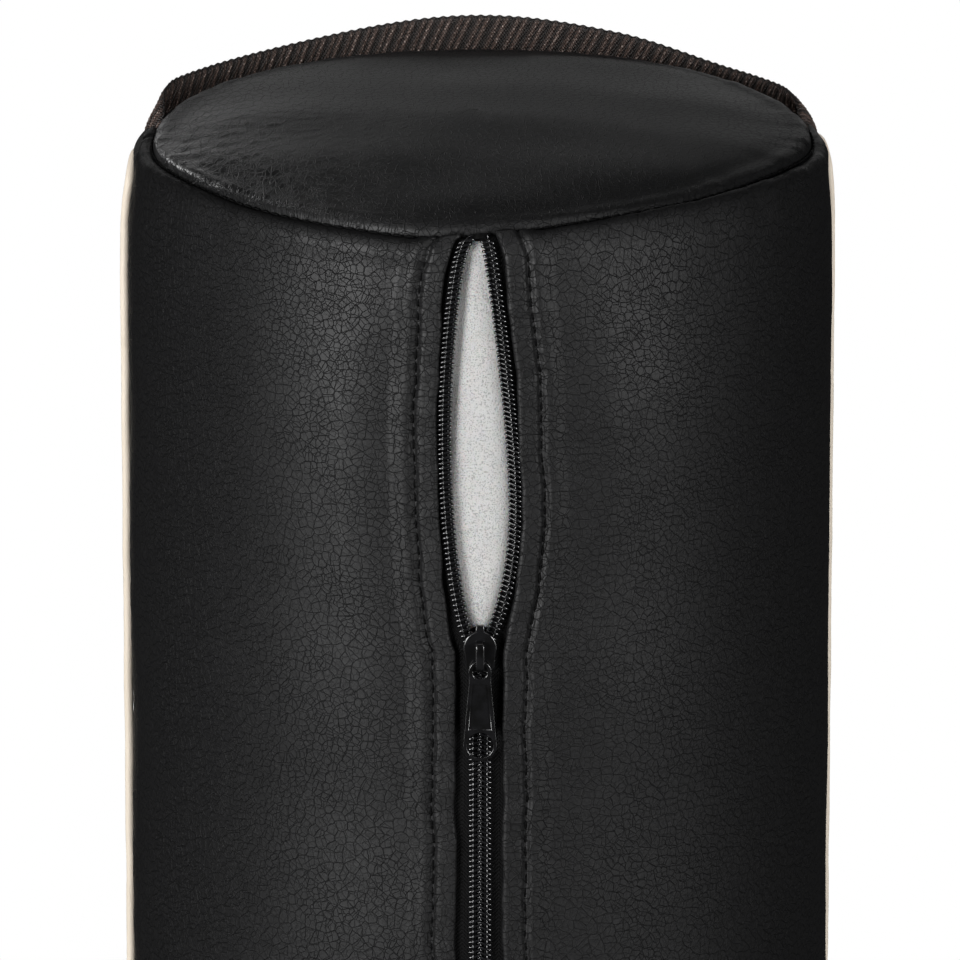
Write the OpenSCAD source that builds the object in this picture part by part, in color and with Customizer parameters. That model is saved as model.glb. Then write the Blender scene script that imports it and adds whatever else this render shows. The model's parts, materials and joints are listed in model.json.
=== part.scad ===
// A full-round massage bolster: a foam cylinder in a zipped faux leather cover, standing on one end.
// Units are millimetres. +Z runs up the bolster's axis, the zip faces -Y, and the origin is the centre
// of the bottom end. Angles are measured from +X, so the zip is at 270 degrees.

/* [Bolster] */
// Outside diameter of the stuffed cover
body_d = 200; // [190:5:220]
// Height from the resting face to the top of the end cap
body_len = 660; // [560:10:700]
// Radius of the rounded edge between wall and cap
edge_r = 12; // [11:1:14]
// Angle up the rounded edge at which the cap is sewn to the wall
seam_angle = 46; // [40:1:55]
// Thickness of the faux leather
skin_t = 1.2; // [0.9:0.1:1.4]
// Room between the cover's wall and the foam, for the zip tapes and the strap's tails
core_slack = 2.4; // [2.2:0.1:3]

/* [Side piping] */
// Diameter of the welt that shows at the side seams
welt_d = 2.4; // [2:0.1:2.6]
// Diameter of the filler cord inside the welt
welt_cord_d = 1.2; // [0.8:0.1:1.4]
// Angle of the left side seam
left_seam = 180; // [176:1:184]
// Angle of the right side seam
right_seam = 8; // [0:1:12]

/* [Zip] */
// Drop from the top of the cap to the middle of the slider
slider_drop = 127.5; // [110:0.5:150]
// Drop from the top of the cap to the upper end of the mouth
mouth_drop = 5; // [4:1:8]
// Half the mouth's greatest width, between the coils
mouth_half_w = 8.3; // [6:0.1:9]
// Half the width between the hems where the zip is shut
slot_half_w = 7.3; // [6.5:0.1:8]
// Share of the mouth's bow that the hems follow
hem_bow = 0.57; // [0.45:0.01:0.65]
// Width of one tape, from the shut centre line outwards
tape_w = 16; // [14:0.5:17]
// Thickness of a tape
tape_t = 0.6; // [0.5:0.1:0.7]
// Width of one coil
coil_w = 3; // [2.8:0.1:3.1]
// Thickness of one coil
coil_t = 2.2; // [2:0.1:2.4]
// Distance from the hem's edge to its line of stitches
hem_w = 5.4; // [4:0.1:7]

/* [Slider] */
// Radius of the round wings
wing_r = 4.6; // [4.4:0.1:5]
// Thickness of the outer wing
wing_t = 1.2; // [1:0.1:1.4]
// Width of the bridge over the wing
crown_w = 2.4; // [2:0.1:2.4]
// Length of the pull tab below its pivot
pull_len = 28.8; // [26:0.1:34]
// Thickness of the pull tab
pull_t = 1.2; // [1:0.1:1.2]
// Radius of the window in the pull tab's lower end
window_r = 3.7; // [3:0.1:3.8]

/* [Carry strap] */
// Width of the webbing
strap_w = 25; // [20:1:30]
// Thickness of the webbing
strap_t = 1.6; // [1.2:0.1:2]
// Height of the strap's upper edge above the cap
strap_rise = 2; // [0:1:12]
// Distance of the strap's pivots behind the bolster's middle plane
strap_back = 12; // [8:1:14]

/* [Hidden] */

$fn = 120;
vinyl = "#1c1c1e";
welt = "#f4e4cf";
foam = "#f3f1ec";
zip_black = "#0d0d0e";
webbing = "#2e221d";

fit_gap = 0.1;
seam_gap = 0.2;
body_r = body_d / 2;
skin_in = body_r - skin_t;
core_r = skin_in - core_slack;
core_edge_r = edge_r - skin_t - core_slack;

// Stations of the zip's layers, measured out from the bolster's axis
tape_out = skin_in - 2 * fit_gap;
tape_in = tape_out - tape_t;
coil_in = tape_out + fit_gap;
coil_out = coil_in + coil_t;
thread_out = coil_out + 2 * fit_gap;
wing_in = thread_out + 2 * fit_gap;
wing_out = wing_in + wing_t;
heel_out = tape_in - 2 * fit_gap;
heel_in = heel_out - 1;

// Heights along the zip
slider_z = body_len - slider_drop;
mouth_z = body_len - mouth_drop;
tape_end = edge_r - 1.5;
stop_h = 3;
coil_end = tape_end + stop_h + 1;
tape_gap = 1.2;

// Shape of the open mouth
mouth_steps = 20;
mouth_skew = 1.36;
mouth_blunt = 0.42;
mouth_sharpen = 0.25;

// The slider's small parts, with heights measured from its middle
wing_lift = 1.2;
wing_foot = 6;
wing_foot_w = 3.9;
post_half_w = 1;
post_z = [2.6, 5.4];
rail_x = [coil_w + 3 * fit_gap, 4.1];
crown_gap = 2.2;
crown_t = 0.8;
crown_z = [-5, 3];
crown_leg = 0.9;
eye_z = -5.6;
eye_r = 3.2;
eye_hole_r = 2.1;
pivot_z = eye_z + (eye_r + eye_hole_r) / 2;
pull_in = wing_out + 3 * fit_gap;
pull_neck_w = 3.15;
pull_end_r = window_r + 0.95;
pull_dish = 0.35;
pawl_z = [-1.6, 1.4];
pawl_half_w = 0.7;
pawl_t = 1.2;
pawl_pin = [0.4, 0.8];
strap_in = body_r + welt_d + 0.5;
strap_end_angle = 2;

// Points on an arc in the profile plane
function arc(cx, cz, r, from, to, steps = 10) =
    [for (i = [0:steps]) let (a = from + (to - from) * i / steps) [cx + r * cos(a), cz + r * sin(a)]];

function reversed(list) = [for (i = [len(list) - 1:-1:0]) list[i]];

// The mouth's opening as a share of its greatest width: u is 0 at its upper end and 1 at the slider
function bow(u) = pow(max(0, sin(180 * pow(u, mouth_skew))), mouth_blunt + mouth_sharpen * u);

// One edge of the zip from the bottom to the top: it lies at a distance from the centre line and
// follows a share of the mouth's bow
function zip_edge(distance, share) = concat(
    [[distance, 0]],
    [for (i = [mouth_steps:-1:0])
        let (u = (1 - cos(180 * i / mouth_steps)) / 2)
        [distance + share * mouth_half_w * bow(u), mouth_z - u * (mouth_z - slider_z)]],
    [[distance, body_len + edge_r]]
);

module ring(r_in, r_out, z_low, z_high) {
    translate([0, 0, z_low]) difference() {
        cylinder(r = r_out, h = z_high - z_low);
        translate([0, 0, -1]) cylinder(r = r_in, h = z_high - z_low + 2);
    }
}

// A drawing of x and z, carried out towards the front
module front_prism() {
    rotate([90, 0, 0]) linear_extrude(height = body_d) children();
}

// A strip of a thin layer on the right of the zip, between two edges
module zip_strip(r_in, r_out, z_end, near, near_share, far, far_share) {
    intersection() {
        ring(r_in, r_out, z_end, body_len - z_end);
        front_prism() polygon(concat(zip_edge(near, near_share), reversed(zip_edge(far, far_share))));
    }
}

// The wall's section: a straight run with a rounded edge up to the cap seam at each end
module wall_profile() {
    top_z = body_len - edge_r;
    seam = seam_angle - 0.5;
    polygon(concat(
        arc(body_r - edge_r, edge_r, edge_r, -seam, 0),
        arc(body_r - edge_r, top_z, edge_r, 0, seam),
        arc(body_r - edge_r, top_z, edge_r - skin_t, seam, 0),
        arc(body_r - edge_r, edge_r, edge_r - skin_t, 0, -seam)
    ));
}

module wall_sector(from, to) {
    gap = 0.4;
    rotate([0, 0, from + gap]) rotate_extrude(angle = to - from - 2 * gap) wall_profile();
}

module zip_slot() {
    right_edge = zip_edge(slot_half_w, hem_bow);
    left_edge = [for (p = right_edge) [-p[0], p[1]]];
    front_prism() translate([0, -1]) polygon(concat(right_edge, reversed(left_edge)));
}

module front_panel_left() {
    color(vinyl) difference() {
        wall_sector(left_seam, 270);
        zip_slot();
    }
}

module front_panel_right() {
    color(vinyl) difference() {
        wall_sector(270, 360 + right_seam);
        zip_slot();
    }
}

module rear_panel() {
    color(vinyl) wall_sector(right_seam, left_seam);
}

// An end cap: a flat disc with a rolled rim, drawn for the top end
module cap() {
    rim_z = body_len - edge_r;
    rotate_extrude() polygon(concat(
        arc(body_r - edge_r, rim_z, edge_r, seam_angle + 0.5, 90),
        [[0, body_len], [0, body_len - skin_t]],
        arc(body_r - edge_r, rim_z, edge_r - skin_t, 90, seam_angle + 0.5)
    ));
}

module top_cap() {
    color(vinyl) cap();
}

module bottom_cap() {
    color(vinyl) translate([0, 0, body_len]) mirror([0, 0, 1]) cap();
}

module foam_core() {
    low_z = skin_t + seam_gap + core_edge_r;
    color(foam) rotate_extrude() polygon(concat(
        [[0, low_z - core_edge_r]],
        arc(core_r - core_edge_r, low_z, core_edge_r, -90, 0),
        arc(core_r - core_edge_r, body_len - low_z, core_edge_r, 0, 90),
        [[0, body_len - low_z + core_edge_r]]
    ));
}

// The welt stands just outside the wall, and its flange passes between two panels
module piping(seam) {
    flange = [2.5, 0.8, body_len - 2 * edge_r];
    rotate([0, 0, seam]) difference() {
        union() {
            translate([body_r + welt_d / 2, 0, edge_r]) cylinder(d = welt_d, h = flange[2], $fn = 48);
            translate([body_r + 1 - flange[0], -flange[1] / 2, edge_r]) cube(flange);
        }
        translate([body_r + welt_d / 2, 0, 0]) cylinder(d = welt_cord_d + fit_gap, h = body_len, $fn = 48);
    }
}

module piping_cord(seam) {
    rotate([0, 0, seam]) translate([body_r + welt_d / 2, 0, edge_r])
        cylinder(d = welt_cord_d, h = body_len - 2 * edge_r, $fn = 48);
}

module piping_left() {
    color(welt) piping(left_seam);
}

module piping_right() {
    color(welt) piping(right_seam);
}

module piping_cord_left() {
    color(foam) piping_cord(left_seam);
}

module piping_cord_right() {
    color(foam) piping_cord(right_seam);
}

module tape() {
    zip_strip(tape_in, tape_out, tape_end, tape_gap, 1, tape_w, hem_bow);
}

module zip_tape_left() {
    color(zip_black) mirror([1, 0, 0]) tape();
}

module zip_tape_right() {
    color(zip_black) tape();
}

// A coil stands for its row of loops: a bar with a tunnel for the cord that it is wound round
module coil() {
    tunnel = [0.9, 2.1];
    wall = 0.5;
    difference() {
        zip_strip(coil_in, coil_out, coil_end, fit_gap / 2, 1, coil_w, 1);
        zip_strip(coil_in + wall, coil_out - wall, coil_end - 1, tunnel[0], 1, tunnel[1], 1);
    }
}

module coil_cord() {
    cord = [1, 2];
    wall = 0.6;
    zip_strip(coil_in + wall, coil_out - wall, coil_end, cord[0], 1, cord[1], 1);
}

// The thread that sews the coil to its tape, lying along the coil's crown
module coil_stitch() {
    thread = [1.2, 1.8];
    zip_strip(coil_out, thread_out - fit_gap / 2, coil_end, thread[0], 1, thread[1], 1);
}

module zip_coil_left() {
    color(zip_black) mirror([1, 0, 0]) coil();
}

module zip_coil_right() {
    color(zip_black) coil();
}

module coil_cord_left() {
    color(zip_black) mirror([1, 0, 0]) coil_cord();
}

module coil_cord_right() {
    color(zip_black) coil_cord();
}

module coil_stitch_left() {
    color(zip_black) mirror([1, 0, 0]) coil_stitch();
}

module coil_stitch_right() {
    color(zip_black) coil_stitch();
}

// The sewn bar that joins both sides of the zip at one end
module zip_stop(z_low) {
    half_w = slot_half_w - 1.5;
    intersection() {
        ring(coil_in, thread_out, z_low, z_low + stop_h);
        translate([-half_w, -body_d, 0]) cube([2 * half_w, body_d, body_len]);
    }
}

module zip_top_stop() {
    color(zip_black) zip_stop(body_len - tape_end - stop_h);
}

module zip_bottom_stop() {
    color(zip_black) zip_stop(tape_end);
}

module topstitch() {
    thread_w = 0.8;
    thread_t = 0.4;
    near = slot_half_w + hem_w;
    zip_strip(body_r, body_r + thread_t, edge_r, near, hem_bow, near + thread_w, hem_bow);
}

module topstitch_left() {
    color(zip_black) mirror([1, 0, 0]) topstitch();
}

module topstitch_right() {
    color(zip_black) topstitch();
}

// The thread in a cap seam, drawn for the top end
module seam_thread() {
    thread_r = 0.35;
    reach = edge_r + thread_r + fit_gap;
    rotate_extrude() translate([
        body_r - edge_r + reach * cos(seam_angle),
        body_len - edge_r + reach * sin(seam_angle)
    ]) circle(r = thread_r, $fn = 24);
}

module top_seam_thread() {
    color(zip_black) seam_thread();
}

module bottom_seam_thread() {
    color(zip_black) translate([0, 0, body_len]) mirror([0, 0, 1]) seam_thread();
}

// The carry strap's sewn-in end, flat between cover and foam below the cap seam
module strap_tail() {
    tail_len = 20;
    half_angle = asin(strap_w / 2 / core_r);
    middle = asin(strap_back / core_r);
    rotate([0, 0, middle - half_angle]) rotate_extrude(angle = 2 * half_angle)
        translate([core_r + fit_gap, body_len - edge_r - tail_len]) square([strap_t, tail_len]);
}

module strap_tail_left() {
    color(webbing) mirror([1, 0, 0]) strap_tail();
}

module strap_tail_right() {
    color(webbing) strap_tail();
}

// Outline of a wing: a round head over a narrower foot
module wing_outline() {
    translate([0, wing_lift]) circle(r = wing_r, $fn = 64);
    polygon([
        [-wing_r, wing_lift], [-wing_foot_w, -wing_foot], [wing_foot_w, -wing_foot], [wing_r, wing_lift]
    ]);
}

// A drawing of x and height above the slider's middle, as a plate between two distances in front
module slider_plate(near, far) {
    translate([0, -near, slider_z]) rotate([90, 0, 0]) linear_extrude(height = far - near) children();
}

module slider_body() {
    pin_hole = [2 * pawl_pin[0] + 0.3, pawl_pin[1] + 0.3];
    color(zip_black) union() {
        slider_plate(heel_in, heel_out) wing_outline();
        slider_plate(wing_in, wing_out) difference() {
            wing_outline();
            square(pin_hole, center = true);
        }
        slider_plate(heel_out, wing_in) translate([-post_half_w, post_z[0]])
            square([2 * post_half_w, post_z[1] - post_z[0]]);
        for (side = [0, 1])
            mirror([side, 0, 0]) slider_plate(tape_out + 3 * fit_gap, wing_in)
                translate([rail_x[0], -wing_foot]) square([rail_x[1] - rail_x[0], wing_foot - 0.5]);
    }
}

// The bridge that holds the pull tab's eye against the outer wing
module slider_crown() {
    legs = [crown_z[0], crown_z[1] - crown_leg];
    color(zip_black) union() {
        for (z = legs)
            slider_plate(wing_out, wing_out + crown_gap + crown_t)
                translate([-crown_w / 2, z]) square([crown_w, crown_leg]);
        slider_plate(wing_out + crown_gap, wing_out + crown_gap + crown_t)
            translate([-crown_w / 2, crown_z[0]]) square([crown_w, crown_z[1] - crown_z[0]]);
    }
}

// The lock's nose: a block under the bridge, with a pin that reaches through the wing to the coils
module slider_pawl() {
    foot = wing_out + 2 * fit_gap;
    color(zip_black) union() {
        slider_plate(foot, foot + pawl_t) translate([-pawl_half_w, pawl_z[0]])
            square([2 * pawl_half_w, pawl_z[1] - pawl_z[0]]);
        slider_plate(wing_in + fit_gap, foot) square([2 * pawl_pin[0], pawl_pin[1]], center = true);
    }
}

// The pull tab hangs from an eye at its top, widens downwards and ends in a round window
module pull_tab() {
    window_z = pivot_z - pull_len + pull_end_r;
    neck_z = eye_z - eye_hole_r - 1;
    dish_end = [window_r - 0.5, window_z + window_r + 0.8];
    shoulder = 20;
    flare = 8;
    color(zip_black) difference() {
        slider_plate(pull_in, pull_in + pull_t) difference() {
            polygon(concat(
                arc(0, eye_z, eye_r, -shoulder, 180 + shoulder, 22),
                [[-pull_neck_w, neck_z]],
                arc(0, window_z, pull_end_r, 180 - flare, 360 + flare, 22),
                [[pull_neck_w, neck_z]]
            ));
            translate([0, eye_z]) circle(r = eye_hole_r, $fn = 48);
            translate([0, window_z]) circle(r = window_r, $fn = 48);
        }
        slider_plate(pull_in + pull_t - pull_dish, pull_in + pull_t + 1) polygon([
            [-pull_neck_w + 1, neck_z], [pull_neck_w - 1, neck_z],
            dish_end, [-dish_end[0], dish_end[1]]
        ]);
    }
}

// The carry strap, dropped behind the rear rim: half a hoop of flat webbing from side to side
module handle_strap() {
    color(webbing) rotate([0, 0, strap_end_angle]) rotate_extrude(angle = 180 - 2 * strap_end_angle)
        translate([strap_in, body_len + strap_rise - strap_w]) square([strap_t, strap_w]);
}

foam_core();
front_panel_left();
front_panel_right();
rear_panel();
top_cap();
bottom_cap();
piping_left();
piping_right();
piping_cord_left();
piping_cord_right();
zip_tape_left();
zip_tape_right();
zip_coil_left();
zip_coil_right();
coil_cord_left();
coil_cord_right();
coil_stitch_left();
coil_stitch_right();
zip_top_stop();
zip_bottom_stop();
topstitch_left();
topstitch_right();
top_seam_thread();
bottom_seam_thread();
strap_tail_left();
strap_tail_right();
slider_body();
slider_crown();
slider_pawl();
pull_tab();
handle_strap();
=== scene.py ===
"""The looks of a massage bolster that stands on its end: a faux leather cover, partly unzipped over foam.

Lengths are in millimetres, and every vertex goes through MM on its way to Blender. Lights and the camera are
placed in metres.

A place on the cover is (across, down, lift). Across is the arc length from the zip's centre line, positive
to +X. Down is the distance along the wall from the top cap seam. Lift is the height above the wall's plain
surface. The cover is first laid out with the zip shut. The mouth is then opened by turning each point about
the bolster's axis by its share of the lip joints' travel.
"""

import json
import math

import bpy
import numpy as np
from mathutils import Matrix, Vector

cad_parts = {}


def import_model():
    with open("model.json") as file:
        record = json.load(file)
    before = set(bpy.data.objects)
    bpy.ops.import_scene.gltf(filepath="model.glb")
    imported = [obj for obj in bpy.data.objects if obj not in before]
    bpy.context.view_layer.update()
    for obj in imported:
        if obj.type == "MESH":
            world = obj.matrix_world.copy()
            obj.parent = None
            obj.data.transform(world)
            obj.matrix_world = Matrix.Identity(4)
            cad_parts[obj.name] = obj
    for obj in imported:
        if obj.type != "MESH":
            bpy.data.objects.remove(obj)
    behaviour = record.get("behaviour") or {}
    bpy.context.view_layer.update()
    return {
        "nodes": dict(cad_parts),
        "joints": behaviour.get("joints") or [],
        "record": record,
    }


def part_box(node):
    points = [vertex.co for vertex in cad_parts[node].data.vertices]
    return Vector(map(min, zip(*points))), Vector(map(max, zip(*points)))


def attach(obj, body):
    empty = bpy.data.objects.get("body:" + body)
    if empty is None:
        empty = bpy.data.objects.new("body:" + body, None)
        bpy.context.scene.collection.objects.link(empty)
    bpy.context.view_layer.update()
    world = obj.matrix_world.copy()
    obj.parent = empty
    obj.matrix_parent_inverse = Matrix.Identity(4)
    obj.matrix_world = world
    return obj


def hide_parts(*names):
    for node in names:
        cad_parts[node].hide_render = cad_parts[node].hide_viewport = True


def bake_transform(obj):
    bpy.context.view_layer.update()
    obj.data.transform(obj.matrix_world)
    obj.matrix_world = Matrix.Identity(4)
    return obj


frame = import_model()

# ---------------------------------------------------------------- driving dimensions

MM = 0.001
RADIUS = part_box("rear_panel")[1].y / MM
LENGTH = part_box("top_cap")[1].z / MM
EDGE_R = 12.0
SEAM_ANGLE = math.radians(46)
SKIN_T = 1.2
LEFT_SEAM = math.radians(-90)
RIGHT_SEAM = math.radians(98)
SHOULDER = EDGE_R * SEAM_ANGLE
CAP_ROLL = EDGE_R * (math.pi / 2 - SEAM_ANGLE)
FLAT_R = RADIUS - EDGE_R
WALL_LEN = 2 * SHOULDER + LENGTH - 2 * EDGE_R
DOME = 5.0
DOME_REACH = 100.0

JOINT = {j["name"]: j for j in frame["joints"]}
COUPLING = {c["joint"]: c["ratio"] for c in frame["record"]["behaviour"]["couplings"]}
SLIDER_Z = (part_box("slider_body")[0].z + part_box("slider_body")[1].z) / 2 / MM
LIP_TURN = COUPLING["lip_left_turn"] * JOINT["zip_slide"]["range_m"][1]

HEM_EDGE = 6.9
HEM_W = 5.4
HEM_SHARE = 0.6
MOUTH_TOP = 1.2
MOUTH_HALF_W = 8.4
COIL_PITCH = 1.5
COIL_W = 4.1
COIL_MESH = 0.6
STITCH_PITCH = 4.0
FOLD_R = 1.25
HEM_EXTRA = 1.25
HEM_FADE = 75.0
RIB_PITCH = 2.7
RIB_SLOPE = 0.45
YARN_PITCH = 1.25


def down_at(z):
    """Distance down the wall from the top seam of the height z on the straight run."""
    return SHOULDER + LENGTH - EDGE_R - z


SLIDER_DOWN = down_at(SLIDER_Z)

# ---------------------------------------------------------------- numbers


def ease(t):
    """A smooth step from 0 to 1."""
    t = np.clip(t, 0, 1)
    return t * t * (3 - 2 * t)


def bump(t):
    """A smooth hump: 1 at 0, and near 0 beyond 2."""
    return np.exp(-t * t)


def wander(x, wavelength, seed, octaves=3):
    """Smooth one-dimensional noise in about -1..1."""
    rng = np.random.default_rng(seed)
    total = np.zeros_like(np.asarray(x, float))
    for octave in range(octaves):
        for _ in range(3):
            wave = wavelength / 2**octave * rng.uniform(0.7, 1.4)
            total = total + np.sin(2 * math.pi * x / wave + rng.uniform(0, 6.28)) / (3 * 1.7**octave)
    return total


def wander2(x, y, wavelength, seed, octaves=2):
    """Smooth two-dimensional noise in about -1..1, from crossing waves."""
    rng = np.random.default_rng(seed)
    total = 0
    for octave in range(octaves):
        for _ in range(6):
            wave = wavelength / 1.9**octave * rng.uniform(0.7, 1.5)
            turn = rng.uniform(0, math.pi)
            along = x * math.cos(turn) + y * math.sin(turn)
            total = total + np.sin(2 * math.pi * along / wave + rng.uniform(0, 6.28)) / (4 * 1.8**octave)
    return total


def spaced(stops):
    """Values from the first stop to the last, where each stop is (value, spacing up to the next stop)."""
    values = [np.array([stops[0][0]])]
    for (low, step), (high, _) in zip(stops, stops[1:]):
        count = max(1, int(round(abs(high - low) / step)))
        values.append(np.linspace(low, high, count + 1)[1:])
    return np.concatenate(values)


# ---------------------------------------------------------------- the wall, the mouth and the lips


def profile(down):
    """Radius, height and outward normal (radial, upward) of the plain cover, by the distance down.

    A negative distance is on the top cap, and one beyond the wall's length is on the bottom cap."""
    down = np.asarray(down, float)
    top = down < WALL_LEN / 2
    from_end = np.where(top, down, WALL_LEN - down)
    turn = np.clip((SHOULDER - from_end) / EDGE_R, 0, math.pi / 2)
    inward = np.clip(-CAP_ROLL - from_end, 0, FLAT_R - 0.1)
    r = FLAT_R + EDGE_R * np.cos(turn) - inward
    share = np.where(inward > 0, ((FLAT_R - inward) / FLAT_R) ** 2, 1 - ease(from_end / DOME_REACH))
    straight = EDGE_R + np.clip(from_end - SHOULDER, 0, None) - EDGE_R * np.sin(turn)
    z = np.where(top, LENGTH - straight - DOME * share, straight)
    slope = np.where(top & (inward > 0), 2 * DOME * (FLAT_R - inward) / FLAT_R**2, 0)
    return r, z, np.where(inward > 0, slope, np.cos(turn)), np.where(top, np.sin(turn), -np.sin(turn))


def turn_degrees(theta):
    """An angle about the bolster's axis, in degrees from -180 to 180."""
    return np.degrees((theta + math.pi) % (2 * math.pi) - math.pi)


def seam_shift(theta, down):
    """How far the top seam wanders inward over the edge, fading out away from the seam."""
    degrees = turn_degrees(theta)
    right = 7.2 * np.exp(-np.abs((degrees - 43) / 33) ** 3)
    left = 3.2 * bump((degrees + 62) / 26) - 1.2 * bump((degrees + 10) / 9)
    return (right + left) * (1 - ease(np.abs(down) / 26))


def tuck(theta, from_seam):
    """How far the stuffed cover draws in near a cap seam."""
    sag = 1.6 * bump((turn_degrees(theta) + 90) / 20)
    return (1.6 + sag) * bump(from_seam / 17)


def place(across, down, lift):
    """Points in millimetres of places on the cover, with the zip shut."""
    across, down, lift = np.broadcast_arrays(across, down, lift)
    theta = across / RADIUS
    from_seam = np.minimum(np.abs(down), np.abs(WALL_LEN - down))
    r, z, nr, nz = profile(down - seam_shift(theta, down))
    lift = lift - tuck(theta, from_seam)
    reach = r + lift * nr
    return np.stack([reach * np.sin(theta), -reach * np.cos(theta), z + lift * nz], axis=-1)


def side_seam(down, side):
    """Arc length from the zip to a side seam, which leans back where it runs up to the top cap."""
    angle = LEFT_SEAM if side < 0 else RIGHT_SEAM
    return angle * RADIUS + side * 15.0 * (1 - ease(np.asarray(down, float) / 15))


def mouth_share(down, side):
    """How far the mouth is open at a distance down, as a share of its greatest width.

    Side is -1 for left and 1 for right."""
    u = np.clip((np.asarray(down, float) - MOUTH_TOP) / (SLIDER_DOWN - MOUTH_TOP), 0, 1)
    skew, blunt, sharpen = (1.0, 0.38, 0.18) if side < 0 else (1.7, 0.45, 0.45)
    power = blunt + sharpen * (u if side < 0 else u * u)
    return np.maximum(0, np.sin(math.pi * u**skew)) ** power


def lip_weight(down, side, share):
    """Share of a lip joint's travel that a place on the cover follows."""
    return share * mouth_share(down, side) * MOUTH_HALF_W / (LIP_TURN * RADIUS)


def hem_share(across):
    """Share of the lip's travel that the leather follows: most at the hem, and none far from the zip."""
    return HEM_SHARE * (1 - ease((across - HEM_EDGE - 8) / HEM_FADE))


def open_lip(points, weight, side):
    """Turns shut points about the bolster's axis to where the open mouth has them."""
    angle = side * LIP_TURN * weight
    c, s = np.cos(angle), np.sin(angle)
    x, y = points[..., 0], points[..., 1]
    return np.stack([x * c - y * s, x * s + y * c, points[..., 2]], axis=-1)


def hem_edge(down, side):
    """Distance of a hem's folded edge from the centre line, with the zip shut."""
    pinch = 1.2 if side < 0 else 2.2
    edge = HEM_EDGE - (0.2 if side < 0 else 0.7)
    wave = 0.45 * wander(down, 46, 11 if side < 0 else 12)
    end = np.minimum(down, WALL_LEN - down)
    return edge + wave - pinch * np.exp(-end / 11)


# ---------------------------------------------------------------- meshes


def side_name(stem, side):
    """The name of a left or a right piece."""
    return stem + ("_left" if side < 0 else "_right")


def mesh_object(name, points, faces, material):
    """A smooth-shaded mesh in the scene. Its name differs from the CAD node's, so lights can find it."""
    mesh = bpy.data.meshes.new(name)
    mesh.from_pydata((np.asarray(points) * MM).tolist(), [], faces)
    mesh.materials.append(material)
    mesh.polygons.foreach_set("use_smooth", [True] * len(mesh.polygons))
    mesh.update()
    obj = bpy.data.objects.new(name + "_look", mesh)
    bpy.context.scene.collection.objects.link(obj)
    return obj


def grid_faces(rows, cols, start=0):
    """Four-sided faces of a grid of points."""
    corner = (start + np.arange(rows - 1)[:, None] * cols + np.arange(cols - 1)[None, :]).ravel()
    return np.stack([corner, corner + 1, corner + cols + 1, corner + cols], axis=1)


def shell_faces(rows, cols):
    """Faces of a closed skin: an outer grid, an inner grid of the same size, and the rim between them."""
    inner = rows * cols
    border = np.concatenate([
        np.arange(cols - 1),
        np.arange(rows - 1) * cols + cols - 1,
        (rows - 1) * cols + np.arange(cols - 1, 0, -1),
        np.arange(rows - 1, 0, -1) * cols,
    ])
    following = np.roll(border, -1)
    rim = np.stack([border, border + inner, following + inner, following], axis=1)
    back = grid_faces(rows, cols, inner)[:, ::-1]
    return np.concatenate([grid_faces(rows, cols), back, rim]).tolist()


def lofts(rings):
    """Points and faces of a row of closed tubes: rings has shape (tubes, rings, ring points, 3)."""
    tubes, count, around, _ = rings.shape
    start = np.arange(tubes)[:, None, None] * count * around
    ring = np.arange(count - 1)[None, :, None]
    point = np.arange(around)[None, None, :]
    a = start + ring * around + point
    b = start + ring * around + (point + 1) % around
    faces = np.stack([a, b, b + around, a + around], axis=-1).reshape(-1, 4).tolist()
    for tube in range(tubes):
        first = tube * count * around
        last = first + (count - 1) * around
        faces.append(list(range(first + around - 1, first - 1, -1)))
        faces.append(list(range(last, last + around)))
    return rings.reshape(-1, 3), faces


def unit(v):
    """Vectors scaled to a length of 1."""
    return v / np.maximum(np.linalg.norm(v, axis=-1, keepdims=True), 1e-12)


def ring_angles(sides):
    """Angles of the points round a ring."""
    return np.linspace(0, 2 * math.pi, sides, endpoint=False)


def tube_rings(path, radius, sides, up):
    """Rings round paths of shape (..., points, 3). Up is a vector near each ring's top."""
    tangent = unit(np.gradient(path, axis=-2))
    across = unit(np.cross(tangent, up))
    top = unit(np.cross(across, tangent))
    turn = ring_angles(sides)
    radius = np.broadcast_to(radius, path.shape[:-1])[..., None, None]
    circle = np.cos(turn)[:, None] * across[..., None, :] + np.sin(turn)[:, None] * top[..., None, :]
    return path[..., None, :] + radius * circle


def outward(points):
    """Unit vectors away from the bolster's axis."""
    return unit(points * np.array([1.0, 1.0, 0.0]))


def triples(x, y):
    """Vectors (x, y, 0) for an attribute, one for each vertex."""
    return np.stack(np.broadcast_arrays(x, y, 0.0), axis=-1).reshape(-1, 3)


def store(obj, name, values):
    """Keeps a number or a vector for each vertex, for the materials to read."""
    values = np.asarray(values, np.float32)
    kind, field = ("FLOAT", "value") if values.ndim == 1 else ("FLOAT_VECTOR", "vector")
    attribute = obj.data.attributes.new(name, kind, "POINT")
    attribute.data.foreach_set(field, values.ravel())


def bend(obj):
    """Bakes a piece's placement into its points."""
    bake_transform(obj)


def rigid_piece(name, points, faces, material, body="cover"):
    """A piece that stands for the CAD node of its name and moves with one body."""
    obj = mesh_object(name, points, faces, material)
    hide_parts(name)
    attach(obj, body)
    return obj


def lip_piece(name, side, points, faces, material):
    """A piece whose points the caller opened with its lip, by a weight for each vertex."""
    if side < 0:
        faces = [f[::-1] for f in faces]
    obj = mesh_object(name, points, faces, material)
    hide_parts(name)
    bend(obj)
    return obj


# ---------------------------------------------------------------- materials


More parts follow.
